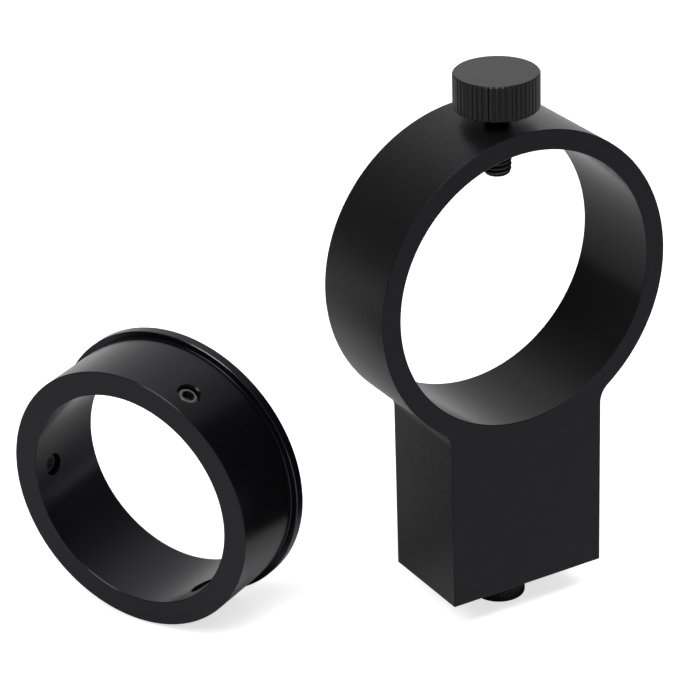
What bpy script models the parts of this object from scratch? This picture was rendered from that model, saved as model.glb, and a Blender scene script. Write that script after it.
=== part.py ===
# Clamp ring bracket for a microscope's focusing stand, with the flanged reducing
# ring that narrows its bore. Metres, +Z up. The bracket stands on the head of its
# mounting screw and the reducing ring beside it on its flange, both on Z = 0.
# The front of the bracket faces -Y and its bore runs along Y.

import math

import bmesh
import bpy
from mathutils import Matrix, Vector

# Clamp ring and stem block
BORE_DIAMETER = 0.0500
RING_WALL = 0.0036
BRACKET_DEPTH = 0.0191
BLOCK_WIDTH = 0.0310
BORE_TO_BLOCK_END = 0.0578
BLEND_RADIUS = 0.0040
EDGE_BREAK = 0.00012

# Clamp screw and its knob, whose axis lies in front of the middle of the ring
CLAMP_FORWARD = 0.00065
CLAMP_THREAD = 0.0050
CLAMP_SCREW_LENGTH = 0.0166
CLAMP_TIP_CHAMFER = 0.0006
SCREW_IN_KNOB = 0.0045
KNOB_DIAMETER = 0.01485
KNOB_HEIGHT = 0.0064
KNOB_LIFT = 0.0018
KNOB_CHAMFER = 0.00025
KNURL_TEETH = 50
KNURL_DEPTH = 0.00022
KNURL_CREST_SHARE = 0.42

# Mounting screw, turned part of the way into the block
MOUNT_THREAD = 0.0050
MOUNT_SHANK_LENGTH = 0.0120
MOUNT_HEAD_DIAMETER = 0.0094
MOUNT_HEAD_HEIGHT = 0.0050
MOUNT_HEAD_CHAMFER = 0.0001
MOUNT_TIP_CHAMFER = 0.0005
MOUNT_KEY_WIDTH = 0.0040
MOUNT_KEY_DEPTH = 0.0025
MOUNT_STANDOFF = 0.00095
MOUNT_HOLE_SPARE = 0.0030

# Reducing ring
SLEEVE_CLEARANCE = 0.00015
ADAPTER_WALL = 0.0045
ADAPTER_LENGTH = 0.0166
FLANGE_STEP = 0.0010
FLANGE_WIDTH = 0.00185
RELIEF_WIDTH = 0.00105
RELIEF_DEPTH = 0.0003
ADAPTER_EDGE_BREAK = 0.00012

# Set screws of the reducing ring
SET_SCREW_COUNT = 3
SET_THREAD = 0.0040
SET_LENGTH = 0.0030
SET_RECESS = 0.0006
SET_KEY_WIDTH = 0.0020
SET_KEY_DEPTH = 0.0015
SET_POINT_CHAMFER = 0.0006
SET_FROM_FRONT = 0.0049
FIRST_SET_SCREW_ANGLE = math.radians(27.9)
SET_HOLE_CHAMFER = 0.0002

# Where the reducing ring stands beside the bracket
ADAPTER_SIDE_GAP = 0.00732
ADAPTER_BEHIND = 0.02546
ADAPTER_TURN = math.radians(26.84)
ADAPTER_CLIMB = math.radians(1.84)

# Fits and cuts
THREAD_GAP = 0.00025
DRILL_POINT = math.radians(59.0)
CUT_OVER = 0.0020

# Fineness of the round forms
ROUND_SEGMENTS = 120
SCREW_SEGMENTS = 32
HEX_SIDES = 6
BLEND_STEPS = 6
RING_STEP = math.radians(3.0)
SHARP_ANGLE = math.radians(28.0)

# Sizes that follow
BORE_RADIUS = BORE_DIAMETER / 2
RING_RADIUS = BORE_RADIUS + RING_WALL
HALF_DEPTH = BRACKET_DEPTH / 2
HALF_BLOCK = BLOCK_WIDTH / 2
SLEEVE_RADIUS = BORE_RADIUS - SLEEVE_CLEARANCE
FLANGE_RADIUS = SLEEVE_RADIUS + FLANGE_STEP
ADAPTER_BORE_RADIUS = SLEEVE_RADIUS - ADAPTER_WALL
ADAPTER_ASIDE = RING_RADIUS + SLEEVE_RADIUS + ADAPTER_SIDE_GAP
BLOCK_END_Z = MOUNT_HEAD_HEIGHT + MOUNT_STANDOFF
BORE_Z = BLOCK_END_Z + BORE_TO_BLOCK_END

# Colours as linear values, with roughness and metallic
BLASTED_BLACK = ((0.017, 0.017, 0.018), 0.50, 0.60)
TURNED_BLACK = ((0.012, 0.012, 0.013), 0.34, 0.60)
KNOB_BLACK = ((0.030, 0.029, 0.029), 0.42, 0.60)
SCREW_BLACK = ((0.010, 0.010, 0.010), 0.30, 0.80)


def clear_scene():
    for old in list(bpy.data.objects):
        bpy.data.objects.remove(old, do_unlink=True)


def make_material(name, look):
    colour, roughness, metallic = look
    material = bpy.data.materials.new(name)
    material.use_nodes = True
    shader = material.node_tree.nodes["Principled BSDF"]
    shader.inputs["Base Color"].default_value = (*colour, 1.0)
    shader.inputs["Roughness"].default_value = roughness
    shader.inputs["Metallic"].default_value = metallic
    return material


def add_empty(name, place, turn=None):
    empty = bpy.data.objects.new(name, None)
    bpy.context.collection.objects.link(empty)
    empty.location = place
    if turn is not None:
        empty.rotation_euler = turn.to_euler()
    bpy.context.view_layer.update()
    return empty


def finish_object(name, bm, parent=None, material=None):
    bmesh.ops.recalc_face_normals(bm, faces=bm.faces)
    mesh = bpy.data.meshes.new(name)
    bm.to_mesh(mesh)
    bm.free()
    mesh.shade_smooth()
    mesh.set_sharp_from_angle(angle=SHARP_ANGLE)
    if material is not None:
        mesh.materials.append(material)
    piece = bpy.data.objects.new(name, mesh)
    bpy.context.collection.objects.link(piece)
    piece.parent = parent
    return piece


def turned_mesh(profile, segments, closed=False):
    """Spin a profile of (radius, height) points round local Z.

    An open profile starts and ends on the axis. A closed one is a ring's section.
    """
    bm = bmesh.new()
    points = [bm.verts.new((radius, 0.0, height)) for radius, height in profile]
    edges = [bm.edges.new(pair) for pair in zip(points, points[1:])]
    if closed:
        edges.append(bm.edges.new((points[-1], points[0])))
    bmesh.ops.spin(
        bm,
        geom=points + edges,
        cent=(0.0, 0.0, 0.0),
        axis=(0.0, 0.0, 1.0),
        angle=math.tau,
        steps=segments,
        use_merge=True,
    )
    bmesh.ops.remove_doubles(bm, verts=bm.verts, dist=1e-7)
    return bm


def prism_mesh(outline, direction):
    """Extrude a flat outline of 3-D points along a vector."""
    bm = bmesh.new()
    face = bm.faces.new([bm.verts.new(point) for point in outline])
    grown = bmesh.ops.extrude_face_region(bm, geom=[face])["geom"]
    moved = [item for item in grown if isinstance(item, bmesh.types.BMVert)]
    bmesh.ops.translate(bm, verts=moved, vec=direction)
    return bm


def cut(piece, cutter, operation="DIFFERENCE"):
    cutter.hide_render = True
    cutter.display_type = "WIRE"
    boolean = piece.modifiers.new(cutter.name, "BOOLEAN")
    boolean.operation = operation
    boolean.solver = "EXACT"
    boolean.object = cutter


def arc(centre, radius, start, end, steps):
    """Points from angle start to angle end round a centre in the XZ plane."""
    turn = (end - start) / steps
    return [
        Vector(
            (
                centre[0] + radius * math.cos(start + turn * step),
                0.0,
                centre[1] + radius * math.sin(start + turn * step),
            )
        )
        for step in range(steps + 1)
    ]


def bracket_outline():
    """Outer outline round the bore's centre: block end, two blends and the ring.

    Each blend is an arc that touches the block's side and the ring from outside.
    """
    blend_x = HALF_BLOCK + BLEND_RADIUS
    blend_z = -math.sqrt((RING_RADIUS + BLEND_RADIUS) ** 2 - blend_x**2)
    contact = math.atan2(-blend_z, -blend_x)
    ring_start = contact - math.pi
    ring_steps = round((math.pi - 2 * ring_start) / RING_STEP)
    right = arc((blend_x, blend_z), BLEND_RADIUS, math.pi, contact, BLEND_STEPS)
    ring = arc((0.0, 0.0), RING_RADIUS, ring_start, math.pi - ring_start, ring_steps)
    left = [Vector((-point.x, 0.0, point.z)) for point in reversed(right)]
    bottom = [
        Vector((-HALF_BLOCK, 0.0, -BORE_TO_BLOCK_END)),
        Vector((HALF_BLOCK, 0.0, -BORE_TO_BLOCK_END)),
    ]
    return bottom + right[:-1] + ring + left[1:]


def bore_cutter_profile(radius, half_length, flare):
    """A plug whose two ends flare at 45 degrees, so the cut edges come out broken."""
    mouth = radius + flare + CUT_OVER
    end = half_length + CUT_OVER
    return [
        (0.0, -end),
        (mouth, -end),
        (radius, -half_length + flare),
        (radius, half_length - flare),
        (mouth, end),
        (0.0, end),
    ]


def make_ring_bracket(bracket_axis, clamp_axis, material):
    """The bracket's one machined piece: clamp ring, blends and stem block."""
    outline = [point + Vector((0.0, -HALF_DEPTH, 0.0)) for point in bracket_outline()]
    bm = prism_mesh(outline, (0.0, BRACKET_DEPTH, 0.0))
    bracket = finish_object("ring_bracket", bm, bracket_axis, material)
    edges = bracket.modifiers.new("edge_break", "BEVEL")
    edges.width = EDGE_BREAK
    edges.segments = 1
    edges.limit_method = "ANGLE"
    edges.angle_limit = SHARP_ANGLE

    bore_profile = bore_cutter_profile(BORE_RADIUS, HALF_DEPTH, EDGE_BREAK)
    bore = finish_object("bore_cutter", turned_mesh(bore_profile, ROUND_SEGMENTS), bracket_axis)
    bore.rotation_euler.x = math.pi / 2
    cut(bracket, bore)

    clamp_hole_radius = CLAMP_THREAD / 2 + THREAD_GAP
    clamp_hole_profile = [
        (0.0, BORE_RADIUS - CUT_OVER),
        (clamp_hole_radius, BORE_RADIUS - CUT_OVER),
        (clamp_hole_radius, RING_RADIUS + CUT_OVER),
        (0.0, RING_RADIUS + CUT_OVER),
    ]
    clamp_hole_mesh = turned_mesh(clamp_hole_profile, SCREW_SEGMENTS)
    cut(bracket, finish_object("clamp_hole_cutter", clamp_hole_mesh, clamp_axis))

    mount_hole_radius = MOUNT_THREAD / 2 + THREAD_GAP
    hole_mouth = -BORE_TO_BLOCK_END
    hole_end = hole_mouth + MOUNT_SHANK_LENGTH - MOUNT_STANDOFF + MOUNT_HOLE_SPARE
    drill_point = mount_hole_radius / math.tan(DRILL_POINT)
    mount_hole_profile = [
        (0.0, hole_mouth - CUT_OVER),
        (mount_hole_radius + EDGE_BREAK + CUT_OVER, hole_mouth - CUT_OVER),
        (mount_hole_radius, hole_mouth + EDGE_BREAK),
        (mount_hole_radius, hole_end),
        (0.0, hole_end + drill_point),
    ]
    mount_hole_mesh = turned_mesh(mount_hole_profile, SCREW_SEGMENTS)
    cut(bracket, finish_object("mount_hole_cutter", mount_hole_mesh, bracket_axis))


def knurl_outline(radius, depth, teeth, crest_share, height):
    """Outline of a straight knurl: a flat crest and a flat root for each tooth."""
    pitch = math.tau / teeth
    crest = pitch * crest_share / 2
    root = pitch * (1 - crest_share) / 4
    corners = [(radius, -crest), (radius, crest), (radius - depth, pitch / 2 - root),
               (radius - depth, pitch / 2 + root)]
    return [
        Vector(
            (
                reach * math.cos(tooth * pitch + angle),
                reach * math.sin(tooth * pitch + angle),
                height,
            )
        )
        for tooth in range(teeth)
        for reach, angle in corners
    ]


def make_thumb_knob(clamp_axis, material):
    """A turned knob: chamfered blank, straight knurl and a blind hole for its screw."""
    radius = KNOB_DIAMETER / 2
    underside = RING_RADIUS + KNOB_LIFT
    top = underside + KNOB_HEIGHT
    blank_profile = [
        (0.0, underside),
        (radius - KNOB_CHAMFER, underside),
        (radius, underside + KNOB_CHAMFER),
        (radius, top - KNOB_CHAMFER),
        (radius - KNOB_CHAMFER, top),
        (0.0, top),
    ]
    blank = turned_mesh(blank_profile, KNURL_TEETH * 2)
    knob = finish_object("thumb_knob", blank, clamp_axis, material)

    knurl_base = underside - CUT_OVER
    teeth = knurl_outline(radius, KNURL_DEPTH, KNURL_TEETH, KNURL_CREST_SHARE, knurl_base)
    knurl_mesh = prism_mesh(teeth, (0.0, 0.0, KNOB_HEIGHT + 2 * CUT_OVER))
    cut(knob, finish_object("knurl_form", knurl_mesh, clamp_axis), "INTERSECT")

    hole_radius = CLAMP_THREAD / 2 + THREAD_GAP
    hole_profile = [
        (0.0, underside - CUT_OVER),
        (hole_radius, underside - CUT_OVER),
        (hole_radius, underside + SCREW_IN_KNOB + THREAD_GAP),
        (0.0, underside + SCREW_IN_KNOB + THREAD_GAP),
    ]
    hole_mesh = turned_mesh(hole_profile, SCREW_SEGMENTS)
    cut(knob, finish_object("knob_hole_cutter", hole_mesh, clamp_axis))


def make_clamp_screw(clamp_axis, material):
    """The screw that the knob turns, with a chamfered tip inside the bore."""
    radius = CLAMP_THREAD / 2
    top = RING_RADIUS + KNOB_LIFT + SCREW_IN_KNOB
    tip = top - CLAMP_SCREW_LENGTH
    profile = [
        (0.0, tip),
        (radius - CLAMP_TIP_CHAMFER, tip),
        (radius, tip + CLAMP_TIP_CHAMFER),
        (radius, top),
        (0.0, top),
    ]
    finish_object("clamp_screw", turned_mesh(profile, SCREW_SEGMENTS), clamp_axis, material)


def hex_socket_cutter(name, width, depth, mouth, parent):
    """Hexagonal key socket that opens downwards, with a drilled cone above its floor."""
    corner = width / 2 / math.cos(math.pi / HEX_SIDES)
    profile = [
        (0.0, mouth - CUT_OVER),
        (corner, mouth - CUT_OVER),
        (corner, mouth + depth),
        (0.0, mouth + depth + corner / 2 / math.tan(DRILL_POINT)),
    ]
    return finish_object(name, turned_mesh(profile, HEX_SIDES), parent)


def make_mounting_screw(mount_axis, material):
    """Socket-head screw with its head down, its shank up in the block."""
    head_radius = MOUNT_HEAD_DIAMETER / 2
    shank_radius = MOUNT_THREAD / 2
    tip = MOUNT_HEAD_HEIGHT + MOUNT_SHANK_LENGTH
    profile = [
        (0.0, 0.0),
        (head_radius - MOUNT_HEAD_CHAMFER, 0.0),
        (head_radius, MOUNT_HEAD_CHAMFER),
        (head_radius, MOUNT_HEAD_HEIGHT),
        (shank_radius, MOUNT_HEAD_HEIGHT),
        (shank_radius, tip - MOUNT_TIP_CHAMFER),
        (shank_radius - MOUNT_TIP_CHAMFER, tip),
        (0.0, tip),
    ]
    mesh = turned_mesh(profile, SCREW_SEGMENTS)
    screw = finish_object("mounting_screw", mesh, mount_axis, material)
    socket = hex_socket_cutter(
        "mount_key_cutter", MOUNT_KEY_WIDTH, MOUNT_KEY_DEPTH, 0.0, mount_axis
    )
    cut(screw, socket)


def adapter_profile():
    """Section of the reducing ring as (radius, distance from its front face)."""
    shoulder = ADAPTER_LENGTH - FLANGE_WIDTH
    edge = ADAPTER_EDGE_BREAK
    return [
        (ADAPTER_BORE_RADIUS, edge),
        (ADAPTER_BORE_RADIUS + edge, 0.0),
        (SLEEVE_RADIUS - edge, 0.0),
        (SLEEVE_RADIUS, edge),
        (SLEEVE_RADIUS, shoulder - RELIEF_WIDTH),
        (SLEEVE_RADIUS - RELIEF_DEPTH, shoulder - RELIEF_WIDTH),
        (SLEEVE_RADIUS - RELIEF_DEPTH, shoulder),
        (FLANGE_RADIUS - edge, shoulder),
        (FLANGE_RADIUS, shoulder + edge),
        (FLANGE_RADIUS, ADAPTER_LENGTH - edge),
        (FLANGE_RADIUS - edge, ADAPTER_LENGTH),
        (ADAPTER_BORE_RADIUS + edge, ADAPTER_LENGTH),
        (ADAPTER_BORE_RADIUS, ADAPTER_LENGTH - edge),
    ]


def adapter_pose():
    """Centre of the front face and the turn of the reducing ring as it stands.

    Its axis climbs towards the flange, and its lowest edge is on the ground. Local
    Z is that axis and local X points at the ground.
    """
    level = Vector((math.cos(ADAPTER_TURN), math.sin(ADAPTER_TURN), 0.0))
    upright = Vector((0.0, 0.0, 1.0))
    along = level * math.cos(ADAPTER_CLIMB) + upright * math.sin(ADAPTER_CLIMB)
    down = level * math.sin(ADAPTER_CLIMB) - upright * math.cos(ADAPTER_CLIMB)
    turn = Matrix((down, along.cross(down), along)).transposed()
    front_z = max(
        radius * math.cos(ADAPTER_CLIMB) - distance * math.sin(ADAPTER_CLIMB)
        for radius, distance in adapter_profile()
    )
    return Vector((-ADAPTER_ASIDE, ADAPTER_BEHIND, front_z)), turn


def middle_of_plan():
    """Middle of the plan of both pieces, measured from the bracket's upright axis."""
    front, turn = adapter_pose()
    along = turn.col[2]
    knob_radius = KNOB_DIAMETER / 2
    bracket_reaches = (
        (-max(RING_RADIUS, HALF_BLOCK), max(RING_RADIUS, HALF_BLOCK)),
        (-max(HALF_DEPTH, knob_radius + CLAMP_FORWARD),
         max(HALF_DEPTH, knob_radius - CLAMP_FORWARD)),
    )
    middle = []
    for side in (0, 1):
        lean = math.sqrt(1 - along[side] ** 2)
        reaches = [
            front[side] + along[side] * distance + sign * radius * lean
            for radius, distance in adapter_profile()
            for sign in (-1, 1)
        ]
        reaches += bracket_reaches[side]
        middle.append((min(reaches) + max(reaches)) / 2)
    return Vector((middle[0], middle[1], 0.0))


def set_screw_places():
    """Outer end and inward turn of each set screw, in the reducing ring's own frame."""
    places = []
    for number in range(SET_SCREW_COUNT):
        angle = math.pi + FIRST_SET_SCREW_ANGLE + number * math.tau / SET_SCREW_COUNT
        outward = Vector((math.cos(angle), math.sin(angle), 0.0))
        side = Vector((-math.sin(angle), math.cos(angle), 0.0))
        turn = Matrix((outward.cross(side), side, -outward)).transposed()
        start = outward * (SLEEVE_RADIUS - SET_RECESS) + Vector((0.0, 0.0, SET_FROM_FRONT))
        places.append((start, turn))
    return places


def make_adapter_ring(adapter_stand, material):
    """The reducing ring: flanged sleeve with three threaded holes for set screws."""
    mesh = turned_mesh(adapter_profile(), ROUND_SEGMENTS, closed=True)
    adapter = finish_object("adapter_ring", mesh, adapter_stand, material)
    hole_radius = SET_THREAD / 2 + THREAD_GAP
    mouth = -SET_RECESS
    hole_profile = [
        (0.0, mouth - CUT_OVER),
        (hole_radius + SET_HOLE_CHAMFER + CUT_OVER, mouth - CUT_OVER),
        (hole_radius, mouth + SET_HOLE_CHAMFER),
        (hole_radius, mouth + ADAPTER_WALL + CUT_OVER),
        (0.0, mouth + ADAPTER_WALL + CUT_OVER),
    ]
    for number, (start, turn) in enumerate(set_screw_places(), start=1):
        mesh = turned_mesh(hole_profile, SCREW_SEGMENTS)
        cutter = finish_object(f"set_hole_cutter_{number}", mesh, adapter_stand)
        cutter.location = start
        cutter.rotation_euler = turn.to_euler()
        cut(adapter, cutter)


def make_set_screws(adapter_stand, material):
    """Headless set screws with a hexagonal socket outside and a chamfered point inside."""
    radius = SET_THREAD / 2
    profile = [
        (0.0, 0.0),
        (radius, 0.0),
        (radius, SET_LENGTH - SET_POINT_CHAMFER),
        (radius - SET_POINT_CHAMFER, SET_LENGTH),
        (0.0, SET_LENGTH),
    ]
    for number, (start, turn) in enumerate(set_screw_places(), start=1):
        screw_axis = add_empty(f"set_screw_axis_{number}", start, turn)
        screw_axis.parent = adapter_stand
        mesh = turned_mesh(profile, SCREW_SEGMENTS)
        screw = finish_object(f"set_screw_{number}", mesh, screw_axis, material)
        socket = hex_socket_cutter(
            f"set_key_cutter_{number}", SET_KEY_WIDTH, SET_KEY_DEPTH, 0.0, screw_axis
        )
        cut(screw, socket)


def build():
    clear_scene()
    middle = middle_of_plan()
    bracket_foot = -middle
    bore_centre = bracket_foot + Vector((0.0, 0.0, BORE_Z))
    bracket_axis = add_empty("bracket_axis", bore_centre)
    clamp_axis = add_empty("clamp_axis", bore_centre - Vector((0.0, CLAMP_FORWARD, 0.0)))
    mount_axis = add_empty("mount_axis", bracket_foot)
    front, turn = adapter_pose()
    adapter_stand = add_empty("adapter_stand", front - middle, turn)

    blasted = make_material("blasted_black_anodised", BLASTED_BLACK)
    turned = make_material("turned_black_anodised", TURNED_BLACK)
    knob_black = make_material("knob_black_anodised", KNOB_BLACK)
    screw_black = make_material("black_oxide_steel", SCREW_BLACK)

    make_ring_bracket(bracket_axis, clamp_axis, blasted)
    make_mounting_screw(mount_axis, screw_black)
    make_clamp_screw(clamp_axis, screw_black)
    make_thumb_knob(clamp_axis, knob_black)
    make_adapter_ring(adapter_stand, turned)
    make_set_screws(adapter_stand, screw_black)


build()
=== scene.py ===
import math

import bmesh
import bpy
from mathutils import Matrix, Vector


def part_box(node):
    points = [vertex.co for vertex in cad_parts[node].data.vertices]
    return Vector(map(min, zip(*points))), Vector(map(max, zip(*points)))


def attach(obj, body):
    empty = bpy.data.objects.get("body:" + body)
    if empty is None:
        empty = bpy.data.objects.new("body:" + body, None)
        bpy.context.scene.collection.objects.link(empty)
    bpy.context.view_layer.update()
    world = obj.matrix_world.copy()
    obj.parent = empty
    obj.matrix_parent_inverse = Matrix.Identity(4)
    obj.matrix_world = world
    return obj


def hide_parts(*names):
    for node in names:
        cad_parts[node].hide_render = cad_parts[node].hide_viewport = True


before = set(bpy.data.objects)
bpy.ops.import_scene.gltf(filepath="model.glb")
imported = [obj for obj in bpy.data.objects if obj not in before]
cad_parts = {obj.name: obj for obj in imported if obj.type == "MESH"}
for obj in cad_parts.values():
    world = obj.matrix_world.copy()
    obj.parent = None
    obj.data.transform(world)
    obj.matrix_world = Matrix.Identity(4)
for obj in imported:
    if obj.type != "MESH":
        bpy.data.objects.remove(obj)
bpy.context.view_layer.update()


# Ring bracket: clamp ring, blends and stem block are one piece of aluminium, milled to its
# outline, bored through, bead blasted and dyed black by anodising. It carries the screws.
BORE_RADIUS = 0.0250
RING_RADIUS = 0.0286
BLOCK_HALF_WIDTH = 0.0155
BORE_TO_BLOCK_END = 0.0578
BLEND_RADIUS = 0.0040
EDGE_BREAK = 0.00012
CLAMP_HOLE_RADIUS = 0.00255
MOUNT_HOLE_RADIUS = 0.00255
MOUNT_HOLE_DEPTH = 0.0139
MOUNT_HOLE_POINT = 0.0016
RING_SEGMENTS = 288
BLEND_STEPS = 14
HOLE_SEGMENTS = 48
SHARP_ANGLE = math.radians(28.0)
CUT_OVER = 0.0020
POINT_RADIUS = 0.00002
CONTACT_MARGIN = 0.0002
MERGE_DISTANCE = 1e-7
TINY = 1e-6

bracket_low, bracket_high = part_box("ring_bracket")
bore_centre = Vector(
    (
        (bracket_low.x + bracket_high.x) / 2,
        (bracket_low.y + bracket_high.y) / 2,
        bracket_low.z + BORE_TO_BLOCK_END,
    )
)
bracket_depth = bracket_high.y - bracket_low.y
clamp_low, clamp_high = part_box("clamp_screw")
clamp_axis = Vector(
    ((clamp_low.x + clamp_high.x) / 2, (clamp_low.y + clamp_high.y) / 2, 0.0)
)


def middle_of(item):
    """Middle of a vertex, an edge or a face."""
    corners = [item] if isinstance(item, bmesh.types.BMVert) else item.verts
    return sum((corner.co for corner in corners), Vector()) / len(corners)


def pick(kind, wanted):
    """Select, in edit mode, the vertices, edges or faces that pass a test."""
    mesh = bpy.context.edit_object.data
    bpy.ops.mesh.select_mode(type=kind)
    bpy.ops.mesh.select_all(action="DESELECT")
    shape = bmesh.from_edit_mesh(mesh)
    for item in {"VERT": shape.verts, "EDGE": shape.edges, "FACE": shape.faces}[kind]:
        if wanted(item):
            item.select_set(True)
    shape.select_flush_mode()
    bmesh.update_edit_mesh(mesh)


def choose(piece):
    """Select one piece alone and make it the active one."""
    bpy.ops.object.select_all(action="DESELECT")
    piece.select_set(True)
    bpy.context.view_layer.objects.active = piece


def start_circle(name, vertices, radius, height, fill="NOTHING"):
    """A flat circle round Z in edit mode, all of it selected."""
    bpy.ops.object.select_all(action="DESELECT")
    bpy.ops.mesh.primitive_circle_add(
        vertices=vertices, radius=radius, fill_type=fill, location=(0.0, 0.0, height)
    )
    piece = bpy.context.object
    piece.name = name
    bpy.ops.object.transform_apply()
    bpy.ops.object.mode_set(mode="EDIT")
    bpy.ops.mesh.select_all(action="SELECT")
    return piece


def draw_out(profile):
    """Carry the selected loop or face along Z through a profile of (radius, height)."""
    for (radius, height), (next_radius, next_height) in zip(profile, profile[1:]):
        rise = (0.0, 0.0, next_height - height)
        grow = next_radius / radius
        bpy.ops.mesh.extrude_region_move(TRANSFORM_OT_translate={"value": rise})
        bpy.ops.transform.resize(
            value=(grow, grow, 1.0), center_override=(0.0, 0.0, next_height)
        )


def close_shape(piece):
    """Merge doubles, turn the faces outwards and go back to object mode."""
    bpy.ops.mesh.select_all(action="SELECT")
    bpy.ops.mesh.remove_doubles(threshold=MERGE_DISTANCE)
    bpy.ops.mesh.normals_make_consistent(inside=False)
    bpy.ops.object.mode_set(mode="OBJECT")
    return piece


def drawn(name, profile, segments):
    """A solid drawn out round Z from its first disc to its last, still in edit mode."""
    piece = start_circle(name, segments, *profile[0], fill="NGON")
    draw_out(profile)
    return piece


def turned(name, profile, segments):
    """A finished solid of the same kind, back in object mode."""
    return close_shape(drawn(name, profile, segments))


def place(piece, pose):
    """Move a piece that was made round Z to its place, and leave its object at the origin."""
    choose(piece)
    piece.matrix_world = pose
    bpy.ops.object.transform_apply()
    return piece


def combine(piece, other, operation="DIFFERENCE"):
    """Cut, join or trim a piece with another one, which is then gone."""
    boolean = piece.modifiers.new("combine", "BOOLEAN")
    boolean.operation = operation
    boolean.solver = "EXACT"
    boolean.object = other
    choose(piece)
    bpy.ops.object.modifier_apply(modifier=boolean.name)
    bpy.data.objects.remove(other)


def smooth(piece):
    """Round faces shade smooth and edges past the sharp angle stay crisp."""
    choose(piece)
    bpy.ops.object.shade_smooth_by_angle(angle=SHARP_ANGLE)


def extend(step):
    """Draw the selected end of a line out by a step."""
    bpy.ops.mesh.extrude_vertices_move(TRANSFORM_OT_translate={"value": step})


def flared(radius, half_length, flare):
    """Profile of a plug whose 45 degree ends break the edges of the hole it cuts."""
    mouth = radius + flare + CUT_OVER
    return [
        (mouth, -half_length - CUT_OVER),
        (radius, -half_length + flare),
        (radius, half_length - flare),
        (mouth, half_length + CUT_OVER),
    ]


blend_side = BLOCK_HALF_WIDTH + BLEND_RADIUS
blend_drop = math.sqrt((RING_RADIUS + BLEND_RADIUS) ** 2 - blend_side**2)
contact = Vector((blend_side, 0.0, -blend_drop)) * RING_RADIUS / (RING_RADIUS + BLEND_RADIUS)
blend_turn = math.atan2(blend_drop, blend_side)

bracket = start_circle("clamp_ring_and_block", RING_SEGMENTS, RING_RADIUS, 0.0)
bpy.ops.transform.rotate(
    value=-math.pi / 2, orient_axis="X", center_override=(0.0, 0.0, 0.0)
)
pick("VERT", lambda item: item.co.z < contact.z + CONTACT_MARGIN)
bpy.ops.mesh.delete(type="VERT")
for side in (-1, 1):
    pick("VERT", lambda item: len(item.link_edges) == 1 and item.co.x * side > 0)
    shape = bmesh.from_edit_mesh(bracket.data)
    ring_end = next(item.co.copy() for item in shape.verts if item.select)
    extend(Vector((contact.x * side, ring_end.y, contact.z)) - ring_end)
    bpy.ops.mesh.spin(
        steps=BLEND_STEPS,
        angle=blend_turn * side,
        center=(blend_side * side, 0.0, -blend_drop),
        axis=(0.0, 1.0, 0.0),
    )
    extend((0.0, 0.0, blend_drop - BORE_TO_BLOCK_END))
pick("VERT", lambda item: len(item.link_edges) == 1)
bpy.ops.mesh.edge_face_add()
bpy.ops.mesh.select_all(action="SELECT")
bpy.ops.mesh.edge_face_add()
bpy.ops.transform.translate(value=(0.0, -bracket_depth / 2, 0.0))
bpy.ops.mesh.extrude_region_move(
    TRANSFORM_OT_translate={"value": (0.0, bracket_depth, 0.0)}
)
bpy.ops.mesh.select_all(action="SELECT")
bpy.ops.mesh.normals_make_consistent(inside=False)
pick(
    "EDGE",
    lambda item: abs(item.verts[0].co.y - item.verts[1].co.y) < TINY
    or middle_of(item).z < -BORE_TO_BLOCK_END + TINY,
)
bpy.ops.mesh.bevel(offset=EDGE_BREAK, segments=1, affect="EDGES")
close_shape(bracket)

bore_plug = turned(
    "bore_plug", flared(BORE_RADIUS, bracket_depth / 2, EDGE_BREAK), RING_SEGMENTS
)
combine(bracket, place(bore_plug, Matrix.Rotation(math.pi / 2, 4, "X")))
clamp_drill = turned(
    "clamp_drill",
    [
        (CLAMP_HOLE_RADIUS, BORE_RADIUS - CUT_OVER),
        (CLAMP_HOLE_RADIUS, RING_RADIUS - EDGE_BREAK),
        (CLAMP_HOLE_RADIUS + EDGE_BREAK + CUT_OVER, RING_RADIUS + CUT_OVER),
    ],
    HOLE_SEGMENTS,
)
combine(bracket, place(clamp_drill, Matrix.Translation(clamp_axis - bore_centre.xy.to_3d())))
mount_drill = turned(
    "mount_drill",
    [
        (MOUNT_HOLE_RADIUS + EDGE_BREAK + CUT_OVER, -BORE_TO_BLOCK_END - CUT_OVER),
        (MOUNT_HOLE_RADIUS, -BORE_TO_BLOCK_END + EDGE_BREAK),
        (MOUNT_HOLE_RADIUS, -BORE_TO_BLOCK_END + MOUNT_HOLE_DEPTH),
        (POINT_RADIUS, -BORE_TO_BLOCK_END + MOUNT_HOLE_DEPTH + MOUNT_HOLE_POINT),
    ],
    HOLE_SEGMENTS,
)
combine(bracket, mount_drill)
place(bracket, Matrix.Translation(bore_centre))
smooth(bracket)


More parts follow.
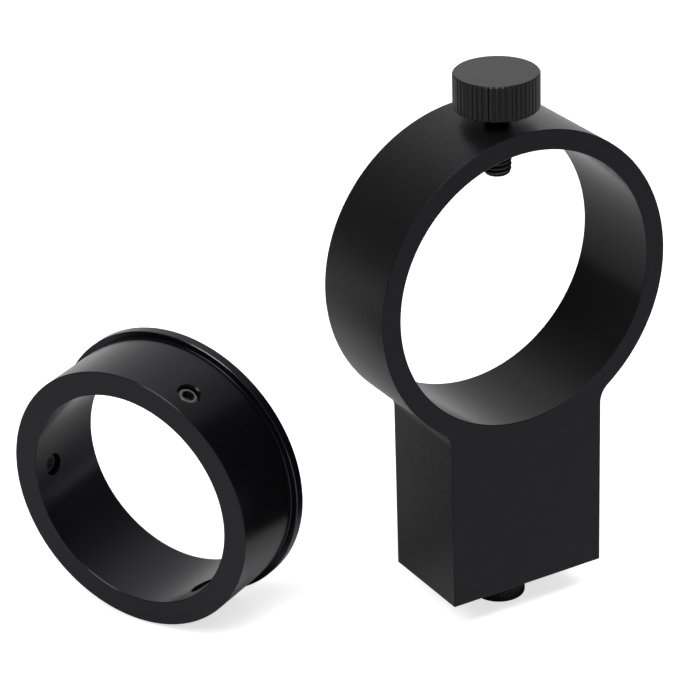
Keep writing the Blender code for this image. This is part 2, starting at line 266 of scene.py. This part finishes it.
class Wire:
    """A shader socket that takes part in Python sums. Each sum adds its Math node."""

    def __init__(self, tree, socket=None):
        self.tree = tree
        self.socket = socket

    def node(self, kind, settings=None, sockets=None, out=0):
        """Any other node: its type, its settings, then its sockets' values or links."""
        made = self.tree.nodes.new(kind)
        for name, value in (settings or {}).items():
            setattr(made, name, value)
        for name, value in (sockets or {}).items():
            if isinstance(value, Wire):
                self.tree.links.new(value.socket, made.inputs[name])
            else:
                made.inputs[name].default_value = value
        return Wire(self.tree, made.outputs[out])

    def math(self, operation, first, second=0.0, clamp=False):
        settings = {"operation": operation, "use_clamp": clamp}
        return self.node("ShaderNodeMath", settings, {0: first, 1: second})

    def __add__(self, other):
        return self.math("ADD", self, other)

    def __sub__(self, other):
        return self.math("SUBTRACT", self, other)

    def __rsub__(self, other):
        return self.math("SUBTRACT", other, self)

    def __mul__(self, other):
        return self.math("MULTIPLY", self, other)

    def __truediv__(self, other):
        return self.math("DIVIDE", self, other)

    def __rtruediv__(self, other):
        return self.math("DIVIDE", other, self)

    __radd__ = __add__
    __rmul__ = __mul__

    def held(self):
        """The value held between 0 and 1."""
        return self.math("ADD", self, 0.0, clamp=True)

    def ramp(self, start, span):
        """0 up to a start, 1 from a span beyond it, and straight in between."""
        return ((self - start) / span).held()

    def stretched(self, along):
        """A point with its height scaled, so that noise on it runs into streaks."""
        settings = {"operation": "MULTIPLY"}
        return self.node("ShaderNodeVectorMath", settings, {0: self, 1: (1.0, 1.0, along)})

    def length_across(self):
        """Distance of a point from the local Z axis."""
        sockets = {0: self.stretched(0.0)}
        return self.node("ShaderNodeVectorMath", {"operation": "LENGTH"}, sockets, "Value")

    def part(self, axis):
        """One coordinate of a point."""
        return self.node("ShaderNodeSeparateXYZ", sockets={0: self}, out=axis)

    def grain(self, scale, detail=2.0, roughness=0.5):
        """Noise at a point, from 0 to 1, with so many lumps to the metre."""
        sockets = {"Vector": self, "Scale": scale, "Detail": detail, "Roughness": roughness}
        return self.node("ShaderNodeTexNoise", None, sockets)

    def lines(self, scale):
        """Noise that changes with one distance only, as tool marks do."""
        sockets = {"W": self * scale, "Scale": 1.0, "Detail": 2.0}
        return self.node("ShaderNodeTexNoise", {"noise_dimensions": "1D"}, sockets)

    def mix(self, dark, light):
        """A colour between two, by this value."""
        sockets = {0: self, 6: (*dark, 1.0), 7: (*light, 1.0)}
        return self.node("ShaderNodeMix", {"data_type": "RGBA"}, sockets, 2)

    def bump(self, strength, depth):
        """A normal from this value as a height, the depth in metres."""
        sockets = {"Strength": strength, "Distance": depth, "Height": self}
        return self.node("ShaderNodeBump", None, sockets)

    def point(self, pose=None):
        """The point on the piece, measured from its own place and turn."""
        point = self.node("ShaderNodeTexCoord", out="Object")
        if pose is None:
            return point
        sockets = {
            "Vector": point,
            "Location": pose.to_translation(),
            "Rotation": pose.to_euler(),
        }
        return self.node("ShaderNodeMapping", {"vector_type": "TEXTURE"}, sockets)


def finish(name, constants, pose=None):
    """A new material: its shader with the constants set, and the point on the piece."""
    material = bpy.data.materials.new(name)
    material.use_nodes = True
    shader = material.node_tree.nodes["Principled BSDF"]
    for socket, value in constants.items():
        shader.inputs[socket].default_value = value
    return material, shader, Wire(material.node_tree).point(pose)


def feed(shader, **wires):
    """Join wires to the shader's sockets."""
    for name, wire in wires.items():
        wire.tree.links.new(wire.socket, shader.inputs[name.replace("_", " ")])


def dress(piece, *finishes):
    """Give a piece its finishes, of which its faces all have the first to begin with."""
    for material in finishes:
        piece.data.materials.append(material)


SKIN_IOR = 1.5
BLASTED_DARK = (0.0022, 0.0022, 0.0025)
BLASTED_LIGHT = (0.0048, 0.0048, 0.0052)
BLASTED_TINT = (0.91, 0.90, 1.0, 1.0)
BLASTED_SHINE = 0.16
# Raised shine of the edge-chamfer copy of the blasted finish: a painted highlight line.
BLASTED_PAINTED_HIGHLIGHT_SHINE = 0.50
BEAD_GRAIN = 3000.0
BEAD_DEPTH = 0.00006
CLOUD_GRAIN = 90.0
BORED_TINT = (1.0, 0.93, 0.98, 1.0)
BORED_SHINE = 0.145
BORE_GRAIN = 5200.0
TOOL_MARKS = 9000.0
MARK_DEPTH = 0.00002
BORE_WALL_MARGIN = 0.00005
BORE_WALL_TILT = 0.1
# Tilt of the down-facing edge chamfers that get the painted highlight.
BLASTED_PAINTED_HIGHLIGHT_TILT = (0.3, 0.9)


def blasted_finish(name, shine):
    """Black anodising over bead-blasted aluminium; a raised shine paints a highlight."""
    constants = {"IOR": SKIN_IOR, "Specular IOR Level": shine, "Specular Tint": BLASTED_TINT}
    material, shader, point = finish(name, constants)
    beads = point.grain(BEAD_GRAIN, detail=3.0, roughness=0.7)
    cloud = point.grain(CLOUD_GRAIN)
    feed(
        shader,
        Base_Color=(beads * 0.7 + cloud * 0.3).mix(BLASTED_DARK, BLASTED_LIGHT),
        Roughness=beads * 0.16 + cloud * 0.04 + 0.22,
        Normal=beads.bump(0.75, BEAD_DEPTH),
    )
    return material


def bored_finish(name):
    """Black anodising over a bored wall, with the boring tool's marks round it."""
    constants = {
        "IOR": SKIN_IOR,
        "Specular IOR Level": BORED_SHINE,
        "Specular Tint": BORED_TINT,
    }
    material, shader, point = finish(name, constants)
    marks = point.part(1).lines(TOOL_MARKS)
    fine = point.grain(BORE_GRAIN)
    feed(
        shader,
        Base_Color=fine.mix(BLASTED_DARK, BLASTED_LIGHT),
        Roughness=fine * 0.08 + 0.14,
        Normal=(marks * 0.5 + fine * 0.5).bump(0.15, MARK_DEPTH),
    )
    return material


dress(
    bracket,
    blasted_finish("blasted_black_anodised", BLASTED_SHINE),
    bored_finish("bored_black_anodised"),
    blasted_finish("blasted_painted_highlight_black_anodised", BLASTED_PAINTED_HIGHLIGHT_SHINE),
)
# Bore walls take the bored finish. Down-facing edge chamfers at the bore and the block's end
# take the shinier copy, a painted highlight line.
for face in bracket.data.polygons:
    across = face.center - bore_centre
    from_bore = abs(math.hypot(across.x, across.z) - BORE_RADIUS)
    at_block_end = across.z < EDGE_BREAK - BORE_TO_BLOCK_END
    painted_highlight_edge = BLASTED_PAINTED_HIGHLIGHT_TILT[0] < -face.normal.z < BLASTED_PAINTED_HIGHLIGHT_TILT[1]
    if from_bore < BORE_WALL_MARGIN and abs(face.normal.y) < BORE_WALL_TILT:
        face.material_index = 1
    elif painted_highlight_edge and (from_bore < EDGE_BREAK or at_block_end):
        face.material_index = 2
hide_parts("ring_bracket")
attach(bracket, "bracket")


# Mounting screw: a steel socket-head screw with a black oxide skin. It is turned part of the
# way into the threaded hole in the block's end, and its knurled head is the bracket's foot.
MOUNT_THREAD_RADIUS = 0.00245
MOUNT_PITCH = 0.0008
MOUNT_HEAD_RADIUS = 0.0047
MOUNT_HEAD_CHAMFER = 0.0001
MOUNT_KEY_CORNER = 0.0040 / math.sqrt(3.0)
MOUNT_KEY_DEPTH = 0.0025
MOUNT_KEY_POINT = 0.0007
MOUNT_HEAD_HEIGHT = 0.0050
MOUNT_KNURL_TEETH = 54
MOUNT_KNURL_DEPTH = 0.00012
MOUNT_GROOVE_SHARE = 0.6
MOUNT_SHANK_OVERLAP = 0.0010
MOUNT_END_CHAMFER = 0.0004
MOUNT_VERTICES_PER_TOOTH = 4
THREAD_DEPTH_TO_PITCH = 0.58
THREAD_FLANK_TO_PITCH = 0.44
THREAD_CREST_TO_PITCH = 0.08
THREAD_SPARE_TO_PITCH = 0.1033
THREAD_STEPS = 40
BISECT_DISTANCE = 1e-8

_, mount_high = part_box("mounting_screw")
mount_axis = Vector((bore_centre.x, bore_centre.y, 0.0))


def threaded_rod(name, pitch, blank_profile):
    """A thread wound round Z by the Screw modifier and trimmed to the form of its blank."""
    radius = max(reach for reach, height in blank_profile)
    bottom = blank_profile[0][1]
    top = blank_profile[-1][1]
    depth = pitch * THREAD_DEPTH_TO_PITCH
    rise = pitch * THREAD_FLANK_TO_PITCH
    flat = pitch * THREAD_CREST_TO_PITCH
    gap = pitch - 2 * rise - flat
    spare = pitch * THREAD_SPARE_TO_PITCH
    bpy.ops.object.select_all(action="DESELECT")
    bpy.ops.mesh.primitive_plane_add(size=radius, location=(0.0, 0.0, 0.0))
    rod = bpy.context.object
    rod.name = name
    bpy.ops.object.mode_set(mode="EDIT")
    bpy.ops.mesh.select_mode(type="VERT")
    bpy.ops.mesh.select_all(action="SELECT")
    bpy.ops.mesh.merge(type="CENTER")
    bpy.ops.transform.translate(value=(radius - depth, 0.0, bottom - 2 * pitch))
    for across, up in ((depth, rise), (0.0, flat), (-depth, rise), (0.0, gap)):
        extend((across, 0.0, up))
    bpy.ops.object.mode_set(mode="OBJECT")
    winding = rod.modifiers.new("winding", "SCREW")
    winding.screw_offset = pitch
    winding.iterations = math.ceil((top - bottom) / pitch) + 3
    winding.steps = THREAD_STEPS
    winding.render_steps = THREAD_STEPS
    winding.use_merge_vertices = True
    winding.merge_threshold = TINY
    bpy.ops.object.modifier_apply(modifier=winding.name)
    bpy.ops.object.mode_set(mode="EDIT")
    bpy.ops.mesh.select_all(action="SELECT")
    bpy.ops.mesh.remove_doubles(threshold=TINY)
    for height, upward in ((bottom - spare, False), (top + spare, True)):
        bpy.ops.mesh.select_all(action="SELECT")
        bpy.ops.mesh.bisect(
            plane_co=(0.0, 0.0, height),
            plane_no=(0.0, 0.0, 1.0),
            threshold=BISECT_DISTANCE,
            use_fill=True,
            clear_inner=not upward,
            clear_outer=upward,
        )
    close_shape(rod)
    combine(rod, turned("blank", blank_profile, HOLE_SEGMENTS * 2), "INTERSECT")
    return rod


def chamfered(radius, bottom, top, chamfer, spare=0.0):
    """Profile of a plain rod or disc with both ends chamfered, and a little spare width."""
    return [
        (radius - chamfer, bottom),
        (radius + spare, bottom + chamfer),
        (radius + spare, top - chamfer),
        (radius - chamfer, top),
    ]


def in_groove(vertex, radius, teeth, share):
    """Whether a vertex stands on the side of a head, in a groove of its knurl."""
    turn = math.atan2(vertex.co.y, vertex.co.x) / math.tau * teeth
    return vertex.co.xy.length > radius - TINY and abs(turn % 1.0 - 0.5) < share / 2


def sink(radius, depth):
    """Bring the selected vertices of a head's side nearer to Z by a depth."""
    share = 1.0 - depth / radius
    bpy.ops.transform.resize(value=(share, share, 1.0), center_override=(0.0, 0.0, 0.0))


def cut_key(screw, corner, depth, point):
    """Cut a hexagonal socket with a drilled point into the end of a screw at Z = 0."""
    profile = [(corner, -CUT_OVER), (corner, depth), (POINT_RADIUS, depth + point)]
    combine(screw, turned("key", profile, 6))


mount_screw = drawn(
    "mounting_socket_screw",
    chamfered(MOUNT_HEAD_RADIUS, 0.0, MOUNT_HEAD_HEIGHT, MOUNT_HEAD_CHAMFER),
    MOUNT_KNURL_TEETH * MOUNT_VERTICES_PER_TOOTH,
)
pick(
    "VERT",
    lambda item: in_groove(item, MOUNT_HEAD_RADIUS, MOUNT_KNURL_TEETH, MOUNT_GROOVE_SHARE),
)
sink(MOUNT_HEAD_RADIUS, MOUNT_KNURL_DEPTH)
close_shape(mount_screw)
shank_start = MOUNT_HEAD_HEIGHT - MOUNT_SHANK_OVERLAP
shank_blank = chamfered(
    MOUNT_THREAD_RADIUS, shank_start, mount_high.z, MOUNT_END_CHAMFER, TINY
)
combine(mount_screw, threaded_rod("shank", MOUNT_PITCH, shank_blank), "UNION")
cut_key(mount_screw, MOUNT_KEY_CORNER, MOUNT_KEY_DEPTH, MOUNT_KEY_POINT)
place(mount_screw, Matrix.Translation(mount_axis))
smooth(mount_screw)

OXIDE_DARK = (0.0040, 0.0040, 0.0042)
OXIDE_GRAIN = 6000.0
FOOT_RUBBED = (0.026, 0.026, 0.026)
FOOT_RUBBED_FROM = 0.0035
FOOT_RUBBED_TO = 0.0050
FOOT_SHINE = 0.24


def oxide_finish(name, pose, shine, rubbed_colour, rubbed_from, rubbed_to):
    """Black oxide on steel, rubbed paler from one distance off its axis to another."""
    constants = {"IOR": SKIN_IOR, "Specular IOR Level": shine}
    material, shader, point = finish(name, constants, pose)
    speckle = point.grain(OXIDE_GRAIN)
    rubbed = point.length_across().ramp(rubbed_from, rubbed_to - rubbed_from)
    worn = (rubbed * (0.35 + speckle * 0.9)).held()
    feed(
        shader,
        Base_Color=worn.mix(OXIDE_DARK, rubbed_colour),
        Metallic=worn * 0.55,
        Roughness=0.36 + speckle * 0.14 - worn * 0.08,
        Normal=speckle.bump(0.12, MARK_DEPTH),
    )
    return material


foot_oxide = oxide_finish(
    "black_oxide_foot",
    Matrix.Translation(mount_axis),
    FOOT_SHINE,
    FOOT_RUBBED,
    FOOT_RUBBED_FROM,
    FOOT_RUBBED_TO,
)
dress(mount_screw, foot_oxide)
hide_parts("mounting_screw")
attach(mount_screw, "mounting_screw")


# Clamp screw: a plain length of black steel M5 thread, fixed in the knob and screwed down
# through the top of the ring, so that its chamfered tip presses on what the bore holds.
CLAMP_THREAD_RADIUS = 0.00249
CLAMP_PITCH = 0.0008
CLAMP_END_CHAMFER = 0.0005
CLAMP_TIP = ((0.0014, 0.0), (0.0019, 0.00015), (0.0022, 0.0004), (0.0024, 0.0008))
CLAMP_ROD_START = 0.0011
CREST_RUBBED = (0.13, 0.125, 0.12)
CREST_RUBBED_FROM = 0.00225
CREST_RUBBED_TO = 0.0025
CLAMP_SHINE = 0.30

clamp_tip = [(reach, clamp_low.z + rise) for reach, rise in CLAMP_TIP]
clamp_rod = chamfered(
    CLAMP_THREAD_RADIUS,
    clamp_low.z + CLAMP_ROD_START,
    clamp_high.z,
    CLAMP_END_CHAMFER,
    TINY,
)
clamp_screw = threaded_rod("clamp_screw_thread", CLAMP_PITCH, clamp_tip + clamp_rod[1:])
place(clamp_screw, Matrix.Translation(clamp_axis))
smooth(clamp_screw)
clamp_oxide = oxide_finish(
    "black_oxide_clamp",
    Matrix.Translation(clamp_axis),
    CLAMP_SHINE,
    CREST_RUBBED,
    CREST_RUBBED_FROM,
    CREST_RUBBED_TO,
)
dress(clamp_screw, clamp_oxide)
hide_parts("clamp_screw")
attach(clamp_screw, "clamp_screw")


# Thumb knob: a turned aluminium disc with a straight knurl rolled into its side before both
# rims were chamfered, faced on its top, anodised black and pressed on the clamp screw.
KNOB_RADIUS = 0.007425
KNOB_CHAMFER = 0.00025
KNURL_TEETH = 50
KNURL_DEPTH = 0.00022
KNURL_GROOVE_SHARE = 0.42
KNURL_UNEVENNESS = 0.16
KNURL_BEAT = 2.4
KNURL_VERTICES_PER_TOOTH = 7
KNOB_HOLE_RADIUS = 0.00255
KNOB_HOLE_DEPTH = 0.0047

knob_low, knob_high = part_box("thumb_knob")
knob_pose = Matrix.Translation(clamp_axis + Vector((0.0, 0.0, knob_low.z)))
knob_height = knob_high.z - knob_low.z
knob = drawn(
    "knurled_thumb_knob",
    chamfered(KNOB_RADIUS, 0.0, knob_height, KNOB_CHAMFER),
    KNURL_TEETH * KNURL_VERTICES_PER_TOOTH,
)


def groove_share(vertex):
    """Share of a tooth's pitch that its groove takes, which differs between the teeth."""
    tooth = math.floor(math.atan2(vertex.co.y, vertex.co.x) / math.tau * KNURL_TEETH)
    return KNURL_GROOVE_SHARE + KNURL_UNEVENNESS * math.sin(tooth * KNURL_BEAT)


for upper in (False, True):
    pick(
        "VERT",
        lambda item: (item.co.z > knob_height / 2) == upper
        and in_groove(item, KNOB_RADIUS, KNURL_TEETH, groove_share(item)),
    )
    sink(KNOB_RADIUS, KNURL_DEPTH)
    slide = KNURL_DEPTH if upper else -KNURL_DEPTH
    bpy.ops.transform.translate(value=(0.0, 0.0, slide))
close_shape(knob)
knob_drill = turned(
    "knob_drill",
    [(KNOB_HOLE_RADIUS, -CUT_OVER), (KNOB_HOLE_RADIUS, KNOB_HOLE_DEPTH)],
    HOLE_SEGMENTS,
)
combine(knob, knob_drill)
place(knob, knob_pose)
smooth(knob)

KNOB_DARK = (0.0036, 0.0035, 0.0035)
KNOB_LIGHT = (0.0110, 0.0107, 0.0107)
KNOB_SHINE = 0.20
KNOB_MARKS = 7000.0
KNOB_MARK_DEPTH = 0.00003
KNOB_GRAIN = 5000.0
STREAK_GRAIN = 2400.0
STREAK_STRETCH = 0.03


def knob_finish(name):
    """Black anodising over a faced top and a knurl, with streaks down the grooves."""
    constants = {"IOR": SKIN_IOR, "Specular IOR Level": KNOB_SHINE}
    material, shader, point = finish(name, constants, knob_pose)
    rings = point.length_across().lines(KNOB_MARKS)
    fine = point.grain(KNOB_GRAIN, detail=3.0)
    streaks = point.stretched(STREAK_STRETCH).grain(STREAK_GRAIN, detail=3.0, roughness=0.7)
    feed(
        shader,
        Base_Color=(fine * 0.2 + rings * 0.2 + streaks * 0.6).mix(KNOB_DARK, KNOB_LIGHT),
        Roughness=fine * 0.08 + streaks * 0.16 + 0.20,
        Normal=(rings * 0.5 + fine * 0.5).bump(0.25, KNOB_MARK_DEPTH),
    )
    return material


dress(knob, knob_finish("knob_black_anodised"))
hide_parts("thumb_knob")
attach(knob, "thumb_knob")


# Reducing ring: a flanged aluminium sleeve that slides into the bracket's bore for a slimmer
# lens body. It is turned all over, with a relief groove cut in front of the flange, drilled
# and threaded for three set screws, and anodised black. It stands beside the bracket.
SLEEVE_RADIUS = 0.02485
SLEEVE_WALL = 0.0045
SLEEVE_LENGTH = 0.0166
FLANGE_RADIUS = 0.02585
FLANGE_WIDTH = 0.00185
RELIEF_WIDTH = 0.00105
RELIEF_DEPTH = 0.0003
RELIEF_FILLET = 0.00025
FILLET_STEPS = 5
SLEEVE_EDGE_BREAK = 0.00012
SLEEVE_SEGMENTS = 288
SET_HOLE_RADIUS = 0.00205
SET_HOLE_CHAMFER = 0.00022
SET_FROM_FRONT = 0.0049
SET_RECESS = 0.0006
FIRST_SET_SCREW_ANGLE = math.radians(27.9)
STAND_FRONT = Vector((-0.039091, 0.002252, 0.025359))
STAND_TURN = math.radians(26.84)
STAND_CLIMB = math.radians(1.84)

level = Vector((math.cos(STAND_TURN), math.sin(STAND_TURN), 0.0))
upright = Vector((0.0, 0.0, 1.0))
along = level * math.cos(STAND_CLIMB) + upright * math.sin(STAND_CLIMB)
down = level * math.sin(STAND_CLIMB) - upright * math.cos(STAND_CLIMB)
stand_turn = Matrix((down, along.cross(down), along)).transposed()
stand_pose = Matrix.Translation(STAND_FRONT) @ stand_turn.to_4x4()

shoulder = SLEEVE_LENGTH - FLANGE_WIDTH
edge = SLEEVE_EDGE_BREAK
lens_radius = SLEEVE_RADIUS - SLEEVE_WALL
fillet_radius = SLEEVE_RADIUS - RELIEF_DEPTH + RELIEF_FILLET
fillet_start = shoulder - RELIEF_FILLET
fillet_angles = [step * math.pi / 2 / FILLET_STEPS for step in range(FILLET_STEPS + 1)]
fillet = [
    (
        fillet_radius - RELIEF_FILLET * math.cos(angle),
        fillet_start + RELIEF_FILLET * math.sin(angle),
    )
    for angle in fillet_angles
]
sleeve_profile = [
    (lens_radius, edge),
    (lens_radius + edge, 0.0),
    (SLEEVE_RADIUS - edge, 0.0),
    (SLEEVE_RADIUS, edge),
    (SLEEVE_RADIUS, shoulder - RELIEF_WIDTH),
    (SLEEVE_RADIUS - RELIEF_DEPTH, shoulder - RELIEF_WIDTH + RELIEF_DEPTH / 2),
    *fillet,
    (FLANGE_RADIUS - edge, shoulder),
    (FLANGE_RADIUS, shoulder + edge),
    (FLANGE_RADIUS, SLEEVE_LENGTH - edge),
    (FLANGE_RADIUS - edge, SLEEVE_LENGTH),
    (lens_radius + edge, SLEEVE_LENGTH),
    (lens_radius, SLEEVE_LENGTH - edge),
]
reducing_ring = start_circle("flanged_reducing_ring", SLEEVE_SEGMENTS, *sleeve_profile[0])
draw_out(sleeve_profile)
pick("VERT", lambda item: item.co.xy.length < lens_radius + TINY)
bpy.ops.mesh.select_mode(type="EDGE")
bpy.ops.mesh.bridge_edge_loops()
close_shape(reducing_ring)


def set_screw_pose(number):
    """Outer end and inward turn of a set screw, in the reducing ring's own frame."""
    angle = math.pi + FIRST_SET_SCREW_ANGLE + number * math.tau / 3
    outward = Vector((math.cos(angle), math.sin(angle), 0.0))
    side = Vector((-math.sin(angle), math.cos(angle), 0.0))
    turn = Matrix((outward.cross(side), side, -outward)).transposed()
    start = outward * (SLEEVE_RADIUS - SET_RECESS) + Vector((0.0, 0.0, SET_FROM_FRONT))
    return Matrix.Translation(start) @ turn.to_4x4()


for number in range(3):
    set_drill = turned(
        f"set_drill_{number}",
        [
            (SET_HOLE_RADIUS + SET_HOLE_CHAMFER + CUT_OVER, -SET_RECESS - CUT_OVER),
            (SET_HOLE_RADIUS, -SET_RECESS + SET_HOLE_CHAMFER),
            (SET_HOLE_RADIUS, SLEEVE_WALL + CUT_OVER),
        ],
        HOLE_SEGMENTS,
    )
    combine(reducing_ring, place(set_drill, set_screw_pose(number)))
place(reducing_ring, stand_pose)
smooth(reducing_ring)

TURNED_DARK = (0.0016, 0.0016, 0.0019)
TURNED_LIGHT = (0.0036, 0.0036, 0.0042)
TURNED_TINT = (0.88, 0.84, 1.0, 1.0)
TURNED_SHINE = 0.21
# Raised shine of the edge copy of the turned finish: a painted highlight line.
TURNED_PAINTED_HIGHLIGHT_SHINE = 0.60
# Tilt of the edge chamfers on the flange side that get the painted highlight.
TURNED_PAINTED_HIGHLIGHT_TILT = (0.3, 0.95)
TURNED_GRAIN = 4600.0


def turned_finish(name, shine):
    """Black anodising over turned aluminium, with the tool's feed marks; a raised shine
    paints a highlight.
    """
    constants = {"IOR": SKIN_IOR, "Specular IOR Level": shine, "Specular Tint": TURNED_TINT}
    material, shader, point = finish(name, constants, stand_pose)
    feed_marks = (point.part(2) + point.length_across()).lines(TOOL_MARKS)
    fine = point.grain(TURNED_GRAIN)
    feed(
        shader,
        Base_Color=(fine * 0.6 + feed_marks * 0.4).mix(TURNED_DARK, TURNED_LIGHT),
        Roughness=feed_marks * 0.06 + fine * 0.04 + 0.14,
        Normal=(feed_marks * 0.6 + fine * 0.4).bump(0.15, MARK_DEPTH),
    )
    return material


dress(
    reducing_ring,
    turned_finish("turned_black_anodised", TURNED_SHINE),
    turned_finish("turned_painted_highlight_black_anodised", TURNED_PAINTED_HIGHLIGHT_SHINE),
)
# Sloped edge faces on the flange half, outside the relief fillet, take the shinier copy, a
# painted highlight line.
for face in reducing_ring.data.polygons:
    height = (face.center - STAND_FRONT).dot(along)
    painted_highlight_slope = TURNED_PAINTED_HIGHLIGHT_TILT[0] < abs(face.normal.dot(along)) < TURNED_PAINTED_HIGHLIGHT_TILT[1]
    if painted_highlight_slope and height > SLEEVE_LENGTH / 2 and not fillet_start < height < shoulder:
        face.material_index = 1
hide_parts("adapter_ring")
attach(reducing_ring, "adapter")


# Set screws: three headless M4 steel screws with a 2 mm key socket and a cup point, turned
# into the reducing ring until they lie just under its surface.
SET_THREAD_RADIUS = 0.00198
SET_PITCH = 0.0007
SET_LENGTH = 0.0030
SET_KEY_CORNER = 0.0020 / math.sqrt(3.0)
SET_KEY_DEPTH = 0.0015
SET_KEY_POINT = 0.0004
SET_CUP_RADIUS = 0.0009
SET_CUP_DEPTH = 0.0005
SET_END_CHAMFER = 0.0005
END_RUBBED = (0.14, 0.135, 0.13)
END_RUBBED_FROM = 0.0011
END_RUBBED_TO = 0.0013
SET_SHINE = 0.35

set_blank = chamfered(SET_THREAD_RADIUS, 0.0, SET_LENGTH, SET_END_CHAMFER, TINY)
set_screw = threaded_rod("set_screw_thread_1", SET_PITCH, set_blank)
cut_key(set_screw, SET_KEY_CORNER, SET_KEY_DEPTH, SET_KEY_POINT)
cup = turned(
    "cup",
    [
        (POINT_RADIUS, SET_LENGTH - SET_CUP_DEPTH),
        (SET_CUP_RADIUS, SET_LENGTH),
        (SET_CUP_RADIUS, SET_LENGTH + CUT_OVER),
    ],
    HOLE_SEGMENTS,
)
combine(set_screw, cup)
smooth(set_screw)
for number in range(3):
    if number == 2:
        copy = set_screw
    else:
        copy = set_screw.copy()
        copy.data = set_screw.data.copy()
        bpy.context.collection.objects.link(copy)
    copy.name = f"set_screw_thread_{number + 1}"
    pose = stand_pose @ set_screw_pose(number)
    place(copy, pose)
    set_oxide = oxide_finish(
        f"black_oxide_set_{number + 1}",
        pose,
        SET_SHINE,
        END_RUBBED,
        END_RUBBED_FROM,
        END_RUBBED_TO,
    )
    dress(copy, set_oxide)
    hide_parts(f"set_screw_{number + 1}")
    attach(copy, f"set_screw_{number + 1}")


# Stage: a pale floor under a pale world, which look white to the camera. The floor takes the
# soft shadow. Reflections see the world dim, but for one bright side behind the object, where
# the far floor glows too. Three softboxes light the pieces, and reflections miss the top one.
FLOOR_SIZE = 6.0
FLOOR_ALBEDO = 0.80
FLOOR_GRAIN = 40.0
FLOOR_GLOW = 0.70
WHITE_FROM = 0.40
WHITE_FADE = 0.60
FAR_GLOW = 0.70
FAR_FROM = 0.20
FAR_FADE = 0.40
FAR_SIDE_FROM = 0.60
FAR_SIDE_FADE = 0.30
AMBIENT = 0.20
ROOM = 0.20
SWEEP_TURN = math.radians(36.0)
SWEEP_RISE = math.radians(22.0)
SWEEP_FROM = 0.407
SWEEP_FADE = 0.459


def ray(wire, kind):
    """1 for rays of one kind, such as Camera, and 0 for the others."""
    return wire.node("ShaderNodeLightPath", out=f"Is {kind} Ray")


def facing(wire, direction):
    """How squarely a wire's direction points the way of another one, from -1 to 1."""
    settings = {"operation": "DOT_PRODUCT"}
    return wire.node("ShaderNodeVectorMath", settings, {0: wire, 1: direction}, "Value")


bpy.ops.object.select_all(action="DESELECT")
bpy.ops.mesh.primitive_plane_add(size=FLOOR_SIZE, location=(0.0, 0.0, 0.0))
floor = bpy.context.object
floor.name = "floor"
floor_paper, shader, point = finish(
    "pale_floor",
    {
        "Base Color": (FLOOR_ALBEDO, FLOOR_ALBEDO, FLOOR_ALBEDO, 1.0),
        "Specular IOR Level": 0.0,
        "Emission Strength": 1.0,
    },
)
away = point.node("ShaderNodeVectorMath", {"operation": "NORMALIZE"}, {0: point})
level_sweep = Vector((math.sin(SWEEP_TURN), math.cos(SWEEP_TURN), 0.0))
distance = point.length_across()
far_side = facing(away, level_sweep).ramp(FAR_SIDE_FROM, FAR_SIDE_FADE)
far = distance.ramp(FAR_FROM, FAR_FADE) * far_side
seen = distance.ramp(WHITE_FROM, WHITE_FADE) * (1.0 - FLOOR_GLOW) + FLOOR_GLOW
glow = ray(point, "Camera") * seen + ray(point, "Glossy") * far * FAR_GLOW
feed(
    shader,
    Emission_Color=glow.mix((0.0, 0.0, 0.0), (1.0, 1.0, 1.0)),
    Roughness=point.grain(FLOOR_GRAIN) * 0.05 + 0.95,
)
dress(floor, floor_paper)

world = bpy.data.worlds.new("white_world")
bpy.context.scene.world = world
world.use_nodes = True
background = world.node_tree.nodes["Background"]
background.inputs["Color"].default_value = (1.0, 1.0, 1.0, 1.0)
sky = Wire(world.node_tree)
sweep_axis = level_sweep * math.cos(SWEEP_RISE) + upright * math.sin(SWEEP_RISE)
toward = sky.node("ShaderNodeTexCoord", out="Generated")
sweep = facing(toward, sweep_axis).ramp(SWEEP_FROM, SWEEP_FADE)
room = sweep * sweep * (1.0 - ROOM) + ROOM
camera_ray = ray(sky, "Camera")
mirrored = (ray(sky, "Glossy") + ray(sky, "Transmission")).held()
strength = camera_ray + (1.0 - camera_ray) * (mirrored * (room - AMBIENT) + AMBIENT)
world.node_tree.links.new(strength.socket, background.inputs["Strength"])


def softbox(name, spot, aim, size, power):
    """A square studio light that hangs at a spot and points at another."""
    bpy.ops.object.select_all(action="DESELECT")
    bpy.ops.object.light_add(type="AREA", location=spot)
    lamp = bpy.context.object
    lamp.name = name
    lamp.data.shape = "SQUARE"
    lamp.data.size = size
    lamp.data.energy = power
    lamp.rotation_euler = (Vector(aim) - Vector(spot)).to_track_quat("-Z", "Y").to_euler()
    return lamp


top_light = softbox(
    "top_light", spot=(0.35, -0.35, 0.90), aim=(0.10, -0.10, 0.0), size=0.50, power=3.6
)
top_light.visible_glossy = False
softbox("rim_light", spot=(-0.08, -0.20, 0.50), aim=(0.0, -0.02, 0.05), size=0.22, power=1.15)
softbox("side_light", spot=(-0.79, -0.32, 0.90), aim=(0.0, 0.0, 0.05), size=0.53, power=7.0)


# Camera: a long lens that looks from the front left and from above. Its place, turn and lens
# were solved from the circles and corners that the photograph shows.
CAMERA_PLACE = Vector((-0.237398, -0.423960, 0.284868))
CAMERA_AZIMUTH = math.radians(29.6054)
CAMERA_DOWN = math.radians(26.1118)
CAMERA_ROLL = math.radians(-1.9788)
CAMERA_LENS = 161.339
CAMERA_SENSOR = 36.0
CAMERA_CLIP = 0.01

bpy.ops.object.camera_add(location=CAMERA_PLACE)
camera = bpy.context.object
camera.name = "camera"
camera.rotation_euler = (
    Matrix.Rotation(-CAMERA_AZIMUTH, 3, "Z")
    @ Matrix.Rotation(math.pi / 2 - CAMERA_DOWN, 3, "X")
    @ Matrix.Rotation(CAMERA_ROLL, 3, "Z")
).to_euler()
camera.data.lens = CAMERA_LENS
camera.data.sensor_width = CAMERA_SENSOR
camera.data.clip_start = CAMERA_CLIP
bpy.context.scene.camera = camera
bpy.context.scene.view_settings.view_transform = "Standard"
